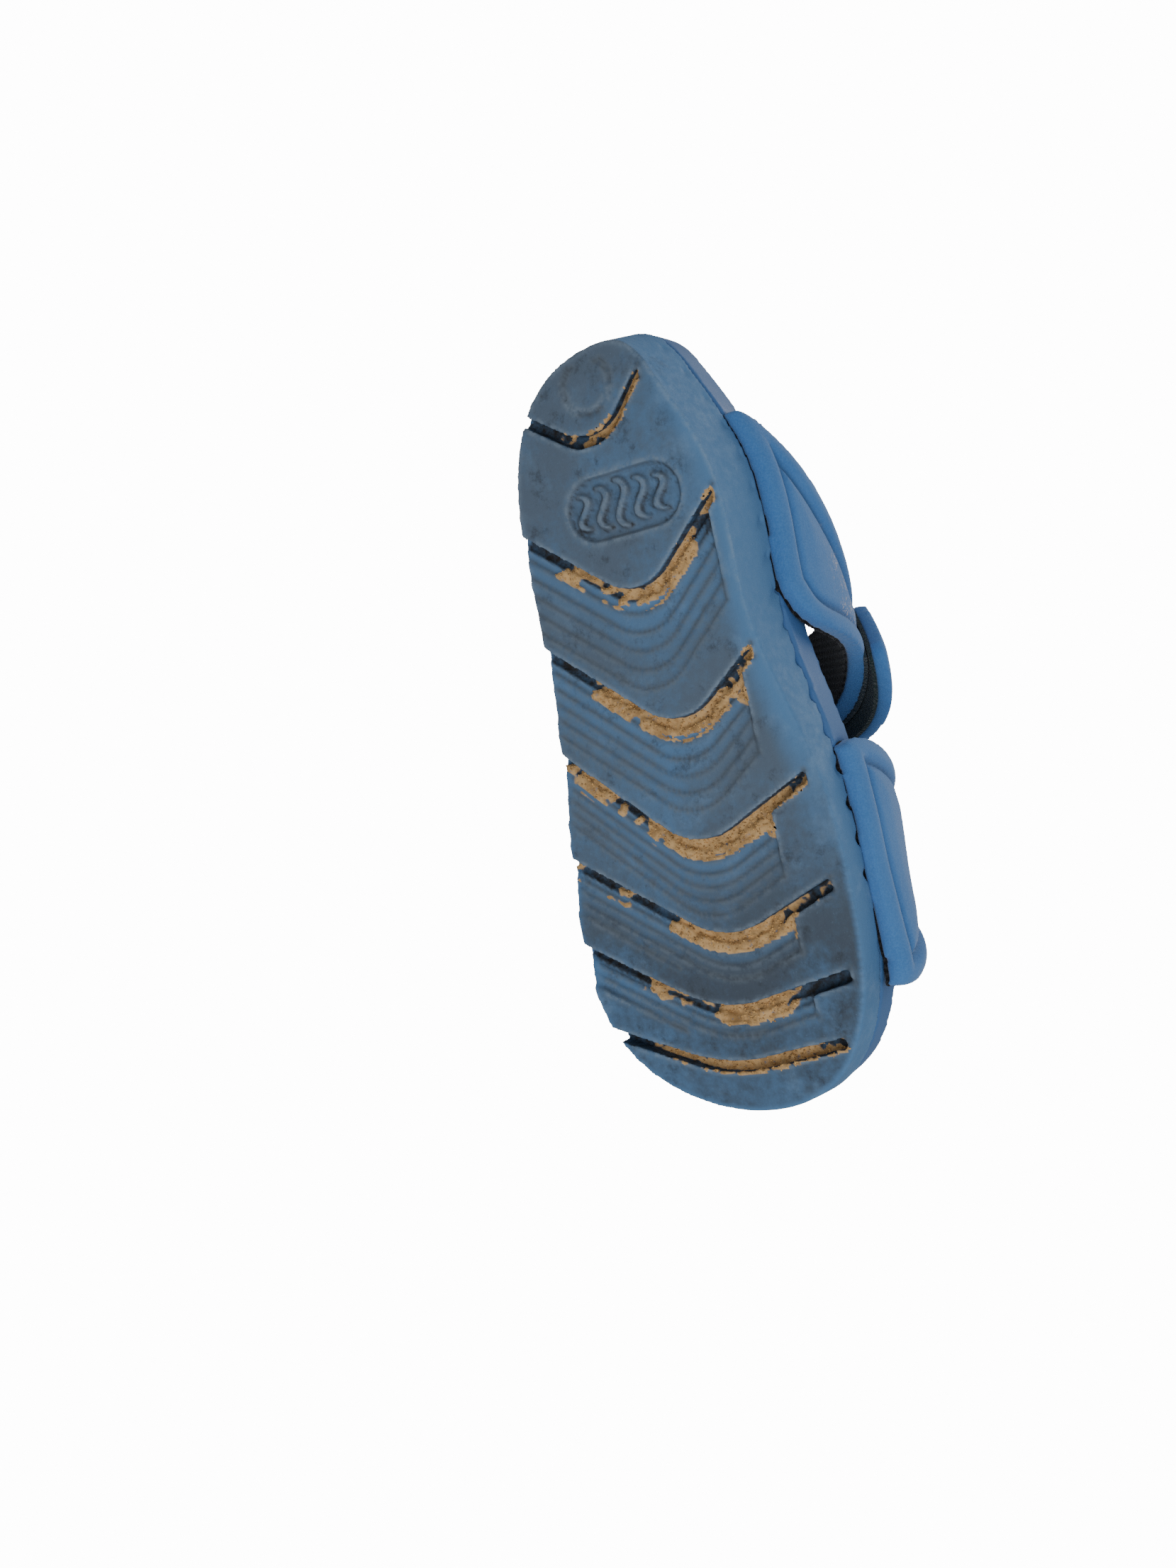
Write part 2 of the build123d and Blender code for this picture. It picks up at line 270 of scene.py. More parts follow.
class Grower:
    """A Geometry Nodes tree under construction, with named inputs."""

    def __init__(self, name: str, sizes: dict[str, float]) -> None:
        """Starts a tree whose inputs are a geometry and the named sizes."""
        self.tree = bpy.data.node_groups.new(name, "GeometryNodeTree")
        self.sizes = sizes
        sockets = self.tree.interface
        sockets.new_socket("Geometry", in_out="INPUT", socket_type="NodeSocketGeometry")
        for key, value in sizes.items():
            kind = "NodeSocketInt" if isinstance(value, int) else "NodeSocketFloat"
            sockets.new_socket(key, in_out="INPUT", socket_type=kind)
        sockets.new_socket("Geometry", in_out="OUTPUT", socket_type="NodeSocketGeometry")
        self.given = self.tree.nodes.new("NodeGroupInput").outputs
        self.result = self.tree.nodes.new("NodeGroupOutput")

    def add(self, kind: str, settings: dict[str, object] | None = None, **feeds: object) -> bpy.types.Node:
        """Adds one node, sets its settings and feeds its inputs by name."""
        node = self.tree.nodes.new(kind)
        for key, value in (settings or {}).items():
            setattr(node, key, value)
        for key, value in feeds.items():
            wanted = key.replace("_", " ")
            socket = next(s for s in node.inputs if s.name == wanted and s.enabled)
            if isinstance(value, bpy.types.NodeSocket):
                self.tree.links.new(value, socket)
            else:
                socket.default_value = value
        return node

    def math(self, operation: str, first: object, second: object = 0.0) -> object:
        """One arithmetic step."""
        node = self.add("ShaderNodeMath", {"operation": operation})
        for socket, value in zip(node.inputs, (first, second)):
            if isinstance(value, bpy.types.NodeSocket):
                self.tree.links.new(value, socket)
            else:
                socket.default_value = value
        return node.outputs[0]

    def grow(
        self, name: str, host: bpy.types.Object, instances: object, material: bpy.types.Material
    ) -> bpy.types.Object:
        """Ends the tree, runs it on a host and returns the result as a new plain object.

        Args:
            name: name of the new object.
            host: object whose mesh goes in.
            instances: socket that carries the instances.
            material: material of every instance.

        Returns:
            The new object.
        """
        real = self.add("GeometryNodeRealizeInstances", Geometry=instances)
        painted = self.add("GeometryNodeSetMaterial", Geometry=real.outputs[0], Material=material)
        self.tree.links.new(painted.outputs[0], self.result.inputs[0])
        modifier = host.modifiers.new(name, "NODES")
        modifier.node_group = self.tree
        for item in self.tree.interface.items_tree:
            if item.in_out == "INPUT" and item.name in self.sizes:
                modifier[item.identifier] = self.sizes[item.name]
        graph = bpy.context.evaluated_depsgraph_get()
        mesh = bpy.data.meshes.new_from_object(host.evaluated_get(graph))
        host.modifiers.remove(modifier)
        mesh.name = name
        return link(name, mesh)


# ---------------------------------------------------------------- material tools


class Shader:
    """A material under construction: short calls that add and join its nodes."""

    def __init__(self, name: str) -> None:
        """Starts a material with one Principled shader."""
        self.material = bpy.data.materials.new(name)
        self.material.use_nodes = True
        self.tree = self.material.node_tree
        self.surface = self.tree.nodes["Principled BSDF"]
        self.place = self.tree.nodes.new("ShaderNodeTexCoord").outputs["Object"]

    def _feed(self, socket: bpy.types.NodeSocket, value: object) -> None:
        """Links a socket or sets a plain value on it."""
        if isinstance(value, bpy.types.NodeSocket):
            self.tree.links.new(value, socket)
        elif isinstance(value, tuple) and len(value) == 3 and socket.type == "RGBA":
            socket.default_value = (*value, 1.0)
        else:
            socket.default_value = value

    def noise(self, scale: float, detail: float = 3.0, rough: float = 0.55, where: object = None) -> object:
        """Noise value at a scale in features per metre."""
        made = self.tree.nodes.new("ShaderNodeTexNoise")
        self._feed(made.inputs["Vector"], where or self.place)
        made.inputs["Scale"].default_value = scale
        made.inputs["Detail"].default_value = detail
        made.inputs["Roughness"].default_value = rough
        return made.outputs["Fac"]

    def cells(self, scale: float, where: object = None) -> object:
        """Distance to the nearest of many scattered cell centres."""
        made = self.tree.nodes.new("ShaderNodeTexVoronoi")
        self._feed(made.inputs["Vector"], where or self.place)
        made.inputs["Scale"].default_value = scale
        return made.outputs["Distance"]

    def attribute(self, name: str) -> object:
        """A number stored on the mesh."""
        made = self.tree.nodes.new("ShaderNodeAttribute")
        made.attribute_name = name
        return made.outputs["Fac"]

    def math(self, operation: str, first: object, second: object = 0.0, clamp: bool = False) -> object:
        """One arithmetic step."""
        made = self.tree.nodes.new("ShaderNodeMath")
        made.operation = operation
        made.use_clamp = clamp
        self._feed(made.inputs[0], first)
        self._feed(made.inputs[1], second)
        return made.outputs[0]

    def span(
        self, value: object, low: float, high: float, out_low: float = 0.0, out_high: float = 1.0
    ) -> object:
        """Maps a range smoothly onto another."""
        made = self.tree.nodes.new("ShaderNodeMapRange")
        made.interpolation_type = "SMOOTHSTEP"
        self._feed(made.inputs["Value"], value)
        for key, number in (("From Min", low), ("From Max", high), ("To Min", out_low), ("To Max", out_high)):
            made.inputs[key].default_value = number
        return made.outputs["Result"]

    def mix(self, factor: object, first: object, second: object) -> object:
        """Colour mixed from two."""
        made = self.tree.nodes.new("ShaderNodeMix")
        made.data_type = "RGBA"
        self._feed(made.inputs["Factor"], factor)
        colours = [socket for socket in made.inputs if socket.type == "RGBA"]
        self._feed(colours[0], first)
        self._feed(colours[1], second)
        return next(socket for socket in made.outputs if socket.type == "RGBA")

    def bump(self, height: object, distance: float, strength: float = 1.0, under: object = None) -> object:
        """Normal bent by a height, in metres."""
        made = self.tree.nodes.new("ShaderNodeBump")
        made.inputs["Distance"].default_value = distance
        made.inputs["Strength"].default_value = strength
        self._feed(made.inputs["Height"], height)
        if under is not None:
            self._feed(made.inputs["Normal"], under)
        return made.outputs["Normal"]

    def stretch(self, scale: RGB, turn: RGB = (0.0, 0.0, 0.0)) -> object:
        """Object coordinates scaled and turned for a directional pattern."""
        made = self.tree.nodes.new("ShaderNodeMapping")
        self._feed(made.inputs["Vector"], self.place)
        made.inputs["Scale"].default_value = scale
        made.inputs["Rotation"].default_value = turn
        return made.outputs["Vector"]

    def finish(
        self, colour: object, rough: object, normal: object = None, **plain: float
    ) -> bpy.types.Material:
        """Joins colour, roughness and normal to the surface and returns the material."""
        self._feed(self.surface.inputs["Base Color"], colour)
        self._feed(self.surface.inputs["Roughness"], rough)
        if normal is not None:
            self._feed(self.surface.inputs["Normal"], normal)
        for key, number in plain.items():
            self._feed(self.surface.inputs[key.replace("_", " ")], number)
        return self.material


@dataclass(frozen=True)
class TreadFinish:
    """Foam outsole: bright at the rim, grey where it has rubbed, ochre sand in the grooves, painted shade in
    the grooves and creases, and pale ridge edges that are partly wear and partly painted highlight.
    """

    bright: RGB = (0.095, 0.225, 0.43)
    worn: RGB = (0.098, 0.14, 0.2)
    toe: RGB = (0.058, 0.08, 0.112)
    pale: RGB = (0.24, 0.38, 0.58)
    sand: RGB = (0.66, 0.42, 0.19)
    packed: RGB = (0.4, 0.24, 0.1)
    # near black: dirt smudges, and painted shade in the grooves and creases
    soil_and_shade: RGB = (0.022, 0.02, 0.02)

    def material(self) -> bpy.types.Material:
        """Builds the node material."""
        s = Shader("tread_foam")
        flat = s.attribute("flat")
        rim = s.attribute("rim")
        ridge = s.attribute("ridge")
        broad = s.noise(24.0, 4.0)
        fine = s.noise(420.0, 5.0, 0.65)
        speck = s.noise(1500.0, 3.0, 0.7)
        patchy = s.span(s.math("ADD", broad, s.math("MULTIPLY", fine, 0.35)), 0.42, 0.8, 0.3, 1.0)
        rub = s.math("MULTIPLY", s.math("MULTIPLY", flat, patchy), s.math("SUBTRACT", 1.0, rim))
        grey = s.mix(s.attribute("toe"), self.worn, self.toe)
        colour = s.mix(rub, self.bright, grey)
        cloudy = s.span(s.noise(70.0, 6.0, 0.7), 0.5, 0.72, 0.0, 0.35)
        colour = s.mix(s.math("MULTIPLY", cloudy, s.span(rub, 0.0, 1.0, 1.0, 0.4)), colour, self.pale)
        colour = s.mix(s.math("MULTIPLY", s.span(speck, 0.62, 0.75), 0.22), colour, self.pale)
        smudge = s.span(s.noise(150.0, 6.0, 0.75), 0.52, 0.72, 0.0, 0.55)
        colour = s.mix(s.math("MULTIPLY", smudge, s.math("SUBTRACT", 1.0, rim)), colour, self.soil_and_shade)
        # pale ridge lines: partly rubbed edge wear, partly a painted highlight on the terrace ridges
        edge_wear_and_highlight = s.math("MULTIPLY", ridge, s.span(fine, 0.35, 0.6, 0.1, 0.6))
        colour = s.mix(edge_wear_and_highlight, colour, (0.3, 0.4, 0.52))
        # painted shade: near black along the groove mask (painted shadow on each groove's heel side and in
        # the creases), broken up by noise like dirt
        groove_dirt_and_shade = s.math("MULTIPLY", s.attribute("groove"), s.span(fine, 0.3, 0.65, 0.65, 1.0))
        colour = s.mix(groove_dirt_and_shade, colour, self.soil_and_shade)
        drift = s.span(s.attribute("sand"), 0.1, 0.45)
        grain = s.math("MULTIPLY", drift, s.span(s.noise(620.0, 4.0, 0.7), 0.22, 0.42))
        tint = s.mix(s.span(s.noise(240.0, 4.0, 0.7), 0.4, 0.65), self.sand, self.packed)
        colour = s.mix(s.math("MINIMUM", grain, 1.0), colour, tint)
        normal = s.bump(speck, 0.00012, 0.6)
        normal = s.bump(fine, 0.0003, 0.5, normal)
        return s.finish(colour, s.span(fine, 0.3, 0.7, 0.55, 0.78), normal, Specular_IOR_Level=0.3)


@dataclass(frozen=True)
class GrainFinish:
    """Dry ochre sand grains of mixed tone."""

    colour: RGB = (0.72, 0.45, 0.18)
    dark: RGB = (0.3, 0.18, 0.08)

    def material(self) -> bpy.types.Material:
        """Builds the node material."""
        s = Shader("sand")
        tone = s.span(s.noise(900.0, 3.0, 0.6), 0.4, 0.62)
        return s.finish(s.mix(tone, self.colour, self.dark), 0.85, Specular_IOR_Level=0.3)


@dataclass(frozen=True)
class SmoothFoamFinish:
    """Moulded foam side wall: satin, slightly violet blue with soft scuffs."""

    name: str = "wall_foam"
    colour: RGB = (0.05, 0.15, 0.37)
    scuff: RGB = (0.09, 0.21, 0.43)

    def material(self) -> bpy.types.Material:
        """Builds the node material."""
        s = Shader(self.name)
        broad = s.noise(35.0, 5.0, 0.6)
        fine = s.noise(900.0, 4.0, 0.6)
        streak = s.noise(120.0, 5.0, 0.7, s.stretch((1.0, 1.0, 6.0)))
        colour = s.mix(s.span(broad, 0.4, 0.75, 0.0, 0.35), self.colour, self.scuff)
        colour = s.mix(s.span(streak, 0.6, 0.8, 0.0, 0.4), colour, self.scuff)
        normal = s.bump(fine, 0.00008, 0.7)
        return s.finish(colour, s.span(broad, 0.3, 0.7, 0.42, 0.6), normal, Specular_IOR_Level=0.4)


@dataclass(frozen=True)
class UpperFinish:
    """Matt coated textile over padding, with a faint nap and, on the wing, worn pale print flecks."""

    name: str = "coated_textile"
    colour: RGB = (0.052, 0.19, 0.48)
    light: RGB = (0.12, 0.3, 0.62)
    fleck: RGB = (0.72, 0.62, 0.6)

    def material(self) -> bpy.types.Material:
        """Builds the node material."""
        s = Shader(self.name)
        nap = s.noise(1900.0, 4.0, 0.7)
        mottle = s.noise(240.0, 4.0, 0.6)
        broad = s.noise(30.0, 3.0)
        colour = s.mix(s.span(nap, 0.38, 0.68, 0.0, 0.4), self.colour, self.light)
        colour = s.mix(s.span(broad, 0.4, 0.75, 0.0, 0.25), colour, self.light)
        seam = s.attribute("seam")
        colour = s.mix(s.math("MULTIPLY", seam, 0.5), colour, (0.03, 0.085, 0.2))
        printed = s.attribute("print")
        crumbs = s.span(s.noise(1300.0, 5.0, 0.75), 0.5, 0.58)
        islands = s.span(s.noise(260.0, 4.0, 0.7), 0.44, 0.6)
        colour = s.mix(s.math("MULTIPLY", printed, s.math("MULTIPLY", crumbs, islands)), colour, self.fleck)
        normal = s.bump(nap, 0.00016, 0.8)
        normal = s.bump(mottle, 0.00035, 0.35, normal)
        return s.finish(colour, 0.82, normal, Sheen_Weight=0.25, Sheen_Roughness=0.5, Specular_IOR_Level=0.25)


@dataclass(frozen=True)
class KnitFinish:
    """Black ribbed lining."""

    name: str = "rib_knit"
    colour: RGB = (0.006, 0.006, 0.008)
    light: RGB = (0.03, 0.031, 0.036)

    def material(self) -> bpy.types.Material:
        """Builds the node material."""
        s = Shader(self.name)
        rib = s.tree.nodes.new("ShaderNodeTexWave")
        s._feed(rib.inputs["Vector"], s.place)
        rib.bands_direction = "X"
        rib.inputs["Scale"].default_value = 160.0
        rib.inputs["Distortion"].default_value = 0.6
        loops = s.cells(1500.0)
        rows = rib.outputs["Fac"]
        colour = s.mix(s.math("MULTIPLY", rows, s.span(loops, 0.2, 0.7)), self.colour, self.light)
        normal = s.bump(loops, 0.0003, 0.6)
        normal = s.bump(rows, 0.0004, 0.8, normal)
        return s.finish(colour, 0.92, normal, Sheen_Weight=0.12, Specular_IOR_Level=0.15)


@dataclass(frozen=True)
class PileFinish:
    """Hook or loop tape: dark, fuzzy, with lint."""

    name: str
    colour: RGB
    lint: RGB

    def material(self) -> bpy.types.Material:
        """Builds the node material."""
        s = Shader(self.name)
        fuzz = s.noise(2600.0, 5.0, 0.8)
        tufts = s.cells(1100.0)
        colour = s.mix(s.span(fuzz, 0.45, 0.7), self.colour, self.lint)
        normal = s.bump(tufts, 0.0006, 1.0)
        normal = s.bump(fuzz, 0.0004, 0.8, normal)
        return s.finish(colour, 0.95, normal, Sheen_Weight=0.3, Specular_IOR_Level=0.1)


def dress(piece: bpy.types.Object, material: bpy.types.Material, body: Body | None) -> None:
    """Gives a piece its material and its body, and reports it."""
    piece.data.materials.clear()
    piece.data.materials.append(material)
    for polygon in piece.data.polygons:
        polygon.use_smooth = True
    if body is not None:
        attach(piece, body.value)
    log.info("%s: %d faces", piece.name, len(piece.data.polygons))


# ---------------------------------------------------------------- sole


@dataclass
class Sole:
    """Outsole with its worn tread, midsole wall and textured footbed."""

    tread_voxel: float = 0.72 * MM
    wall_voxel: float = 1.0 * MM
    rim_width: float = 11.0 * MM
    sand_fill: float = 0.9 * MM
    crease_reach: float = 9.0 * MM
    ridge_lift: float = 0.28 * MM
    ridge_width: float = 0.9 * MM
    drift_width: float = 3.4 * MM

    def ground_line(self, places: np.ndarray) -> Callable[[np.ndarray], np.ndarray]:
        """Lowest height along the sole, as a function of x."""
        stations = np.linspace(places[:, 0].min() + 2 * MM, places[:, 0].max() - 2 * MM, 60)
        lows = []
        for station in stations:
            near = np.abs(places[:, 0] - station) < 3 * MM
            lows.append(places[near, 2].min())
        lows = np.array(lows)
        return lambda x: np.interp(x, stations, lows)

    def build_outsole(self) -> bpy.types.Object:
        """Makes the outsole: softened mould edges, rubbed pads, sand packed in the grooves, and masks for
        painted shade in the grooves and creases and a partly painted highlight on the ridges.
        """
        piece = cad_copy("outsole_tread", ["outsole"])
        ridges = sharp_points(piece, math.radians(40), 0.8 * MM, True)
        creases = sharp_points(piece, math.radians(40), 0.8 * MM, False)
        voxel_soften(piece, self.tread_voxel, 1, 0.4)
        mesh = piece.data
        places, normals = points_of(mesh), normals_of(mesh)
        height = places[:, 2] - self.ground_line(places)(places[:, 0])
        faces_down = smoothstep(-normals[:, 2], 0.1, 0.7)
        to_rim = distance_to(places * np.array((1.0, 1.0, 0.0)), plan_outline(places))
        inner = smoothstep(to_rim, 1.5 * MM, 4 * MM)
        ridge = np.exp(-((distance_to(places, ridges) / self.ridge_width) ** 2)) * inner
        crease = np.exp(-((distance_to(places, creases) / self.ridge_width) ** 2)) * inner
        creased = enclosure(mesh, normals, (normals[:, 2] < 0.2) & (height < 9 * MM), self.crease_reach)
        bed, shadow = self.groove_bed(places, creased, faces_down)
        drift = cloud(places, 13 * MM, 1.0)
        crumb = cloud(places, 2.2 * MM, 2.0)
        fine = cloud(places, 0.9 * MM, 4.0)
        middle = np.clip(1.0 - np.abs(places[:, 1] + 3 * MM) / (36 * MM), 0.0, 1.0)
        sand = bed * smoothstep(drift + 0.5 * crumb + 0.9 * middle, 0.22, 0.5)
        places += normals * ((ridge - crease) * self.ridge_lift * faces_down)[:, None]
        places += normals * (sand * self.sand_fill * (0.5 + crumb + 0.5 * fine))[:, None]
        places += normals * (0.14 * MM * cloud(places, 9 * MM, 3.0) * faces_down)[:, None]
        places[:, 2] = np.maximum(places[:, 2], 0.0)
        move_points(mesh, places)
        lateral_rear = 1 - smoothstep(places[:, 0], 0, 45 * MM)
        lateral_rear *= 1 - smoothstep(places[:, 1], -22 * MM, -8 * MM)
        clean_edge = (1 - smoothstep(to_rim, 3 * MM, self.rim_width)) * lateral_rear
        put_attribute(mesh, "flat", (1.0 - smoothstep(height, 0.3 * MM, 3.2 * MM)) * faces_down)
        put_attribute(mesh, "rim", np.maximum(clean_edge, 1 - smoothstep(to_rim, 0.4 * MM, 2.6 * MM)))
        # groove mask: painted shadow on the heel side of each groove plus painted shade in the creases, less
        # where sand lies
        put_attribute(mesh, "groove", np.clip(shadow + 0.75 * crease, 0, 1) * (1 - 0.6 * sand))
        # ridge mask: pale edge wear and painted highlight along the ridges
        put_attribute(mesh, "ridge", ridge * faces_down)
        put_attribute(mesh, "sand", sand)
        put_attribute(mesh, "toe", smoothstep(places[:, 0], 10 * MM, 75 * MM))
        return piece

    def groove_bed(
        self, places: np.ndarray, creased: np.ndarray, faces_down: np.ndarray
    ) -> tuple[np.ndarray, np.ndarray]:
        """Where drifts can lie and where a groove gets painted shade.

        Args:
            places: vertex places.
            creased: how closed in each vertex is.
            faces_down: 1 where the surface faces the ground.

        Returns:
            The bed of the drifts, wide on the toe side of each groove, and the painted shadow line on its
            heel side.
        """
        core = np.flatnonzero((creased > 0.36) & (faces_down > 0.5))
        tree = KDTree(len(core))
        for index in core:
            tree.insert(places[index], int(index))
        tree.balance()
        found = [tree.find(place) for place in places]
        gap = np.array([hit[2] for hit in found])
        ahead = np.array([place[0] - hit[0][0] for place, hit in zip(places, found)])
        toe_side = smoothstep(ahead, -0.5 * MM, 0.8 * MM)
        reach = 1.2 * MM + toe_side * self.drift_width
        sunk = smoothstep(creased, 0.05, 0.17)
        bed = (1 - smoothstep(gap / reach, 0.45, 1.0)) * smoothstep(faces_down, 0.05, 0.4) * sunk
        shadow = smoothstep(creased, 0.16, 0.42) * (1 - 0.3 * toe_side)
        return bed, shadow

    def build_grains(self, tread: bpy.types.Object) -> None:
        """Scatters loose grains over the packed sand."""
        g = Grower("sand_grains", {"Density": 900000.0, "Grain": 0.34 * MM, "Seed": 11})
        sand = g.add("GeometryNodeInputNamedAttribute", {"data_type": "FLOAT"}, Name="sand").outputs[0]
        density = g.math("MULTIPLY", g.given["Density"], g.math("POWER", sand, 2.0))
        spots = g.add(
            "GeometryNodeDistributePointsOnFaces",
            Mesh=g.given["Geometry"], Density=density, Seed=g.given["Seed"],
        )
        grain = g.add("GeometryNodeMeshIcoSphere", Radius=g.given["Grain"], Subdivisions=1)
        vector = {"data_type": "FLOAT_VECTOR"}
        shape = g.add("FunctionNodeRandomValue", vector, Min=(0.5, 0.4, 0.3), Max=(1.7, 1.3, 1.0))
        turn = g.add("FunctionNodeRandomValue", vector, Max=(6.3, 6.3, 6.3))
        put = g.add(
            "GeometryNodeInstanceOnPoints", Points=spots.outputs["Points"], Instance=grain.outputs[0],
            Rotation=turn.outputs[0], Scale=shape.outputs[0],
        )
        material = GrainFinish().material()
        grains = g.grow("sand_grains", tread, put.outputs[0], material)
        places = points_of(grains.data)
        places[:, 2] = np.maximum(places[:, 2], 0.0)
        move_points(grains.data, places)
        dress(grains, material, Body.ROOT)

    def build_nubs(self, liner: bpy.types.Object, material: bpy.types.Material) -> None:
        """Sets staggered rows of low moulded nubs on the footbed."""
        rows, columns = 52, 22
        g = Grower("footbed_nubs", {"Pitch": 4.0 * MM, "Nub": 1.05 * MM, "Inset": 1.09})
        long_side = g.math("MULTIPLY", g.given["Pitch"], float(rows - 1))
        wide_side = g.math("MULTIPLY", g.given["Pitch"], float(columns - 1))
        grid = g.add(
            "GeometryNodeMeshGrid", Size_X=long_side, Size_Y=wide_side, Vertices_X=rows, Vertices_Y=columns
        )
        row = g.math("FLOOR", g.math("DIVIDE", g.add("GeometryNodeInputIndex").outputs[0], float(columns)))
        shift = g.math("MULTIPLY", g.math("MODULO", row, 2.0), g.math("MULTIPLY", g.given["Pitch"], 0.5))
        lift = g.add("ShaderNodeCombineXYZ", Y=shift, Z=0.15).outputs[0]
        high = g.add("GeometryNodeSetPosition", Geometry=grid.outputs[0], Offset=lift)
        spot = g.add("GeometryNodeInputPosition").outputs[0]
        widened = g.add("ShaderNodeVectorMath", {"operation": "SCALE"}, Vector=spot, Scale=g.given["Inset"])
        hit, edge = (
            g.add(
                "GeometryNodeRaycast",
                Target_Geometry=g.given["Geometry"], Source_Position=source, Ray_Direction=(0.0, 0.0, -1.0),
            )
            for source in (spot, widened.outputs[0])
        )
        keep = g.math("MULTIPLY", hit.outputs["Is Hit"], edge.outputs["Is Hit"])
        points = g.add(
            "GeometryNodeMeshToPoints",
            Mesh=high.outputs[0], Selection=keep, Position=hit.outputs["Hit Position"],
        )
        nub = g.add("GeometryNodeMeshUVSphere", Radius=g.given["Nub"], Segments=10, Rings=6)
        put = g.add(
            "GeometryNodeInstanceOnPoints",
            Points=points.outputs[0], Instance=nub.outputs[0], Scale=(1.0, 1.0, 0.35),
        )
        nubs = g.grow("footbed_nubs", liner, put.outputs[0], material)
        dress(nubs, material, Body.ROOT)

    def build(self) -> None:
        """Makes and dresses the three layers of the sole."""
        outsole = self.build_outsole()
        self.build_grains(outsole)
        dress(outsole, TreadFinish().material(), Body.ROOT)
        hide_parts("outsole")
        midsole = cad_copy("midsole_wall", ["midsole"])
        voxel_soften(midsole, self.wall_voxel, 3)
        dress(midsole, SmoothFoamFinish().material(), Body.ROOT)
        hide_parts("midsole")
        liner = cad_copy("footbed_sheet", ["footbed_liner"])
        voxel_soften(liner, self.wall_voxel, 2)
        footbed = SmoothFoamFinish("footbed_foam", (0.06, 0.16, 0.36), (0.12, 0.25, 0.46))
        moulded = footbed.material()
        self.build_nubs(liner, moulded)
        dress(liner, moulded, Body.ROOT)
        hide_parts("footbed_liner")


# ---------------------------------------------------------------- padded upper


@dataclass
class PaddedPanel:
    """A padded strap or wing: rolled rim, seam valley inside it, crowned field and knit lining."""

    name: str
    shell_nodes: tuple[str, ...]
    lining_nodes: tuple[str, ...]
    lining_flat: tuple[float, float]
    lining_area: float
    body: Body = Body.ROOT
    hinge: tuple[Vector, Vector] | None = None
    printed: bool = False
    voxel: float = 0.85 * MM
    lining_voxel: float = 0.48 * MM
    rim_width: float = 6.4 * MM
    rim_rise: float = 0.9 * MM
    valley_depth: float = 1.3 * MM
    valley_width: float = 1.1 * MM
    crown: float = 0.7 * MM
    fold_skip: float = 2.0 * MM

    def outwardness(self, places: np.ndarray, normals: np.ndarray) -> np.ndarray:
        """1 on the outer face, 0 on the face towards the foot."""
        middle = np.array((0.0, 0.0, 30 * MM))
        away = (places - middle) * np.array((0.0, 1.0, 1.0))
        away /= np.linalg.norm(away, axis=1)[:, None]
        return smoothstep((normals * away).sum(axis=1), 0.15, 0.6)

    def rim_points(self) -> list[Vector]:
        """Points along the panel's cut edges, without the fold that the hinge crosses."""
        copies = [cad_copy("rim_probe", [node]) for node in self.shell_nodes if node.endswith("_skin")]
        found: list[Vector] = []
        for copy in copies:
            found += sharp_points(copy, math.radians(45), 1.0 * MM)
            bpy.data.objects.remove(copy)
        if self.hinge:
            start, end = self.hinge
            fold_y = (start.y + end.y) / 2
            found = [p for p in found if abs(p.y - fold_y) > self.fold_skip]
        return found

    def build_shell(self, finish: bpy.types.Material) -> bpy.types.Object:
        """Makes the padded shell with its rim, seam and crowned field."""
        piece = cad_copy(self.name, self.shell_nodes)
        voxel_soften(piece, self.voxel, 5)
        mesh = piece.data
        places, normals = points_of(mesh), normals_of(mesh)
        outer = self.outwardness(places, normals)
        edge = distance_to(places, self.rim_points())
        rim = np.sin(np.clip(edge / self.rim_width, 0, 1) * math.pi) * self.rim_rise
        valley = np.exp(-(((edge - self.rim_width) / self.valley_width) ** 2)) * self.valley_depth
        field_rise = smoothstep(edge, self.rim_width + self.valley_width, 2.2 * self.rim_width) * self.crown
        wobble = cloud(places, 14 * MM, 5.0) * 0.25 * MM
        places += normals * (outer * (rim - valley + field_rise + wobble))[:, None]
        move_points(mesh, places)
        put_attribute(mesh, "seam", outer * np.exp(-(((edge - self.rim_width) / (0.7 * MM)) ** 2)))
        put_attribute(mesh, "print", self.print_mask(places, outer, edge))
        dress(piece, finish, None)
        return piece

    def print_mask(self, places: np.ndarray, outer: np.ndarray, edge: np.ndarray) -> np.ndarray:
        """Where worn print flecks remain."""
        if not self.printed:
            return np.zeros(len(places))
        high = smoothstep(places[:, 2], 32 * MM, 44 * MM)
        front = smoothstep(places[:, 0], -56 * MM, -42 * MM)
        return outer * high * front * smoothstep(edge, 5 * MM, 8 * MM)

    def build_lining(self, finish: bpy.types.Material) -> bpy.types.Object:
        """Makes the knit lining from the CAD lining, softened at its edges."""
        piece = cad_copy(self.name + "_knit", self.lining_nodes)
        voxel_soften(piece, self.lining_voxel, 3)
        dress(piece, finish, None)
        return piece

    def build(self, upper: bpy.types.Material, knit: bpy.types.Material) -> None:
        """Makes both layers and fixes them to their body; a panel with a hinge only has its place baked into
        its mesh.
        """
        shell, lining = self.build_shell(upper), self.build_lining(knit)
        for piece, nodes in ((shell, self.shell_nodes), (lining, self.lining_nodes)):
            if self.hinge:
                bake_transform(piece)
            else:
                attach(piece, self.body.value)
            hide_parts(*nodes)


# ---------------------------------------------------------------- studio


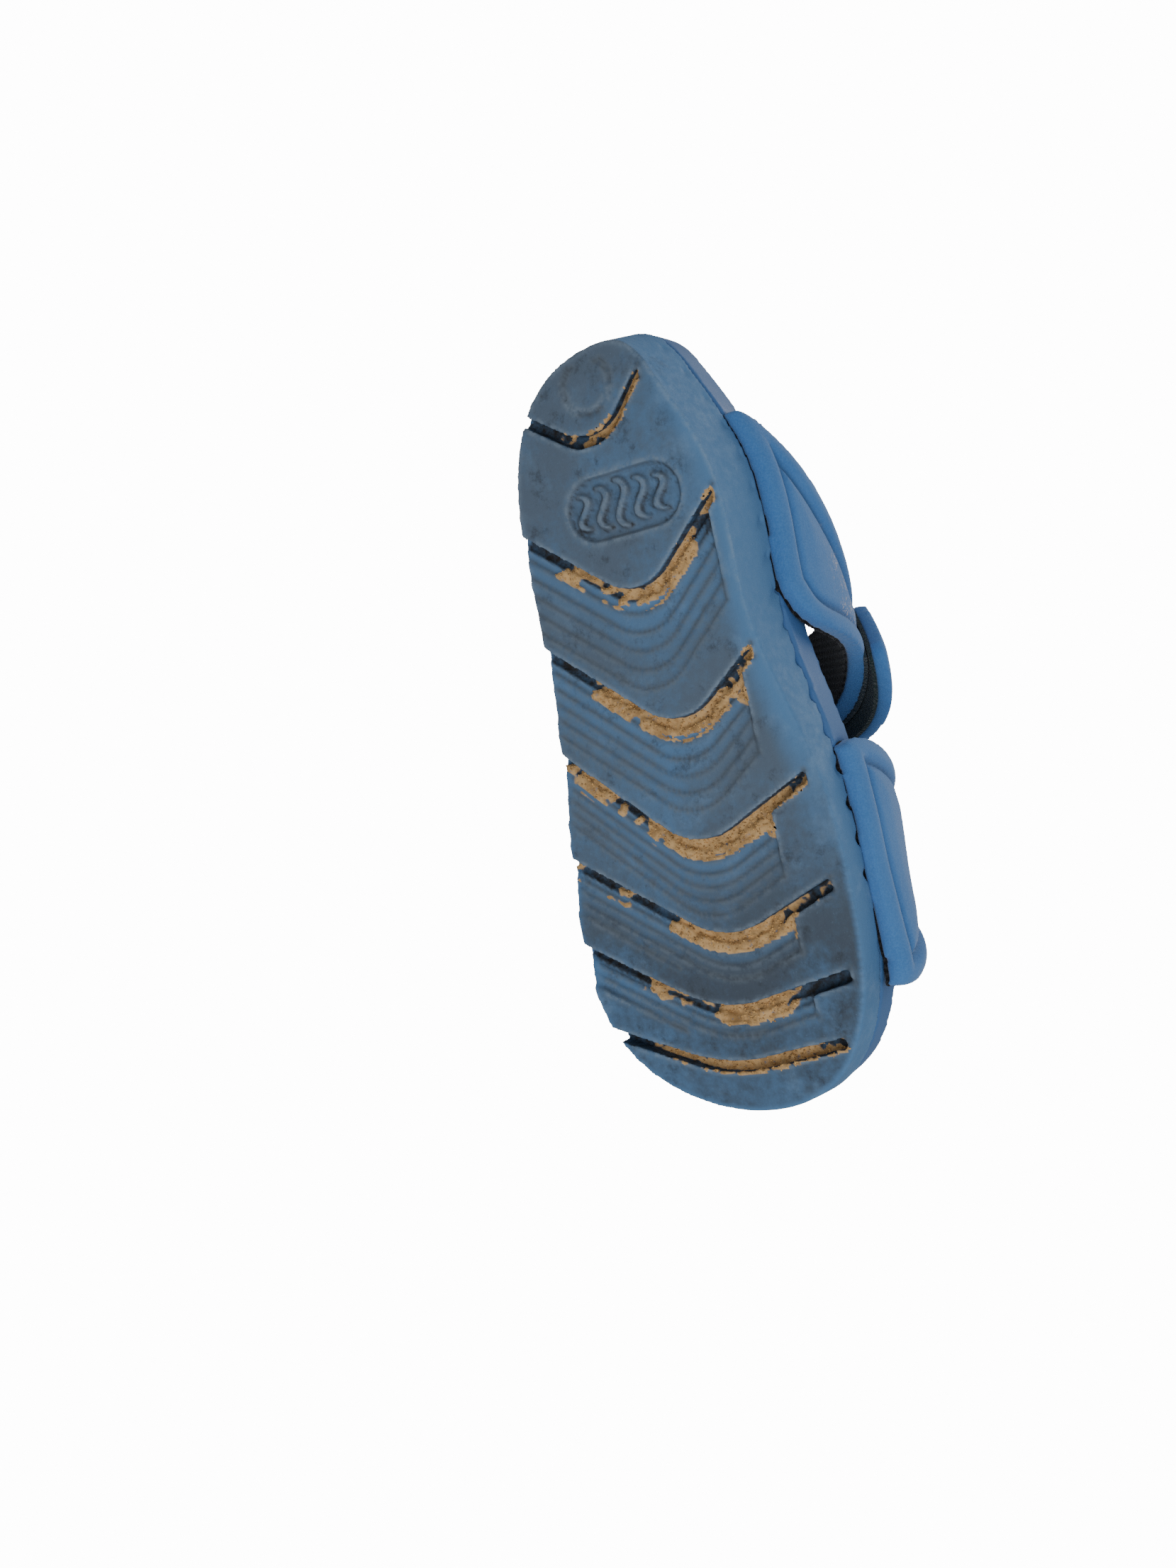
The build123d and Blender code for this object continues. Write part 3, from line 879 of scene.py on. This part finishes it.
@dataclass(frozen=True)
class Studio:
    """Floor, soft light and the camera that looks up at the tread from the lateral side."""

    lens: float = 39.87
    sensor: float = 36.0
    eye: RGB = (-0.0001, -0.2129, -0.3912)
    right: RGB = (0.206994, -0.835483, 0.509039)
    down: RGB = (0.978102, 0.165203, -0.126585)
    ahead: RGB = (0.021664, 0.524095, 0.851384)
    backdrop: float = 14.0
    ambient: float = 0.42

    def floor(self) -> None:
        """Pale floor that shows from above and lets the view from below through."""
        size, drop = 1.5, -0.2 * MM
        mesh = bpy.data.meshes.new("floor")
        corners = [(-size, -size, drop), (size, -size, drop), (size, size, drop), (-size, size, drop)]
        mesh.from_pydata(corners, [], [(0, 1, 2, 3)])
        floor = link("floor", mesh)
        s = Shader("pale_floor")
        s.finish((0.93, 0.93, 0.93), 0.9, Emission_Strength=0.6, Emission_Color=(0.95, 0.95, 0.95, 1.0))
        clear = s.tree.nodes.new("ShaderNodeBsdfTransparent")
        side = s.tree.nodes.new("ShaderNodeNewGeometry")
        choose = s.tree.nodes.new("ShaderNodeMixShader")
        s.tree.links.new(side.outputs["Backfacing"], choose.inputs["Fac"])
        s.tree.links.new(s.surface.outputs["BSDF"], choose.inputs[1])
        s.tree.links.new(clear.outputs["BSDF"], choose.inputs[2])
        s.tree.links.new(choose.outputs["Shader"], s.tree.nodes["Material Output"].inputs["Surface"])
        mesh.materials.append(s.material)
        floor.visible_shadow = False
        floor.visible_diffuse = False
        floor.visible_glossy = False

    def light(self, name: str, place: RGB, power: float, size: float, target: RGB = (0.0, 0.0, 0.03)) -> None:
        """One square soft light aimed at a target."""
        lamp = bpy.data.lights.new(name, "AREA")
        lamp.energy = power
        lamp.size = size
        made = bpy.data.objects.new(name, lamp)
        made.location = place
        made.rotation_euler = (Vector(target) - Vector(place)).to_track_quat("-Z", "Y").to_euler()
        bpy.context.scene.collection.objects.link(made)

    def build(self) -> None:
        """Sets the world, the lights, the floor and the camera."""
        world = bpy.data.worlds.new("studio")
        world.use_nodes = True
        sky = world.node_tree.nodes["Background"]
        sky.inputs["Color"].default_value = (1.0, 1.0, 1.0, 1.0)
        seen = world.node_tree.nodes.new("ShaderNodeLightPath").outputs["Is Camera Ray"]
        strength = world.node_tree.nodes.new("ShaderNodeMapRange")
        strength.inputs["To Min"].default_value = self.ambient
        strength.inputs["To Max"].default_value = self.backdrop
        world.node_tree.links.new(seen, strength.inputs["Value"])
        world.node_tree.links.new(strength.outputs["Result"], sky.inputs["Strength"])
        bpy.context.scene.world = world
        self.floor()
        self.light("key_below", (0.35, -0.35, -0.75), 3.6, 0.5)
        self.light("key_above", (-0.5, -0.6, 0.9), 4.0, 0.7)
        camera_data = bpy.data.cameras.new("camera")
        camera_data.lens = self.lens
        camera_data.sensor_width = self.sensor
        camera_data.clip_start = 0.01
        camera = bpy.data.objects.new("camera", camera_data)
        turn = Matrix((self.right, [-v for v in self.down], [-v for v in self.ahead])).transposed()
        camera.matrix_world = Matrix.Translation(self.eye) @ turn.to_4x4()
        bpy.context.scene.collection.objects.link(camera)
        bpy.context.scene.camera = camera


def main() -> None:
    """Builds the sandal piece by piece."""
    Studio().build()
    Sole().build()
    joint = frame["joints"][0]
    pivot = Vector(joint.get("pos_m") or joint.get("pos"))
    across = Vector((0.0, -0.75, 0.66))
    fold = (pivot - across * 0.006, pivot + across * 0.006)
    upper = UpperFinish().material()
    knit = KnitFinish().material()
    panels = [
        PaddedPanel(
            "forefoot_band_shell",
            ("forefoot_band_skin", "forefoot_band_foam"),
            ("forefoot_band_lining",),
            lining_flat=(0.064, 0.125),
            lining_area=0.00618,
        ),
        PaddedPanel(
            "lateral_quarter_shell",
            ("lateral_quarter_skin", "lateral_quarter_foam"),
            ("lateral_quarter_lining",),
            lining_flat=(0.085, 0.068),
            lining_area=0.00243,
            printed=True,
        ),
        PaddedPanel(
            "medial_quarter_and_strap_shell",
            ("medial_quarter_skin", "medial_quarter_foam", "instep_strap_skin", "instep_strap_foam"),
            ("medial_quarter_lining", "instep_strap_lining"),
            lining_flat=(0.072, 0.092),
            lining_area=0.00291,
            hinge=fold,
        ),
    ]
    for panel in panels:
        panel.build(upper, knit)
    hooks = PileFinish("hook_tape", (0.008, 0.022, 0.026), (0.05, 0.1, 0.1)).material()
    loops = PileFinish("loop_tape", (0.012, 0.03, 0.045), (0.05, 0.09, 0.12)).material()
    for node, material in (("hook_patch", hooks), ("loop_patch", loops)):
        carried = frame["nodes"][node]
        for index in range(max(1, len(carried.material_slots))):
            if carried.material_slots:
                carried.material_slots[index].material = material


if __name__ == "__main__":
    main()
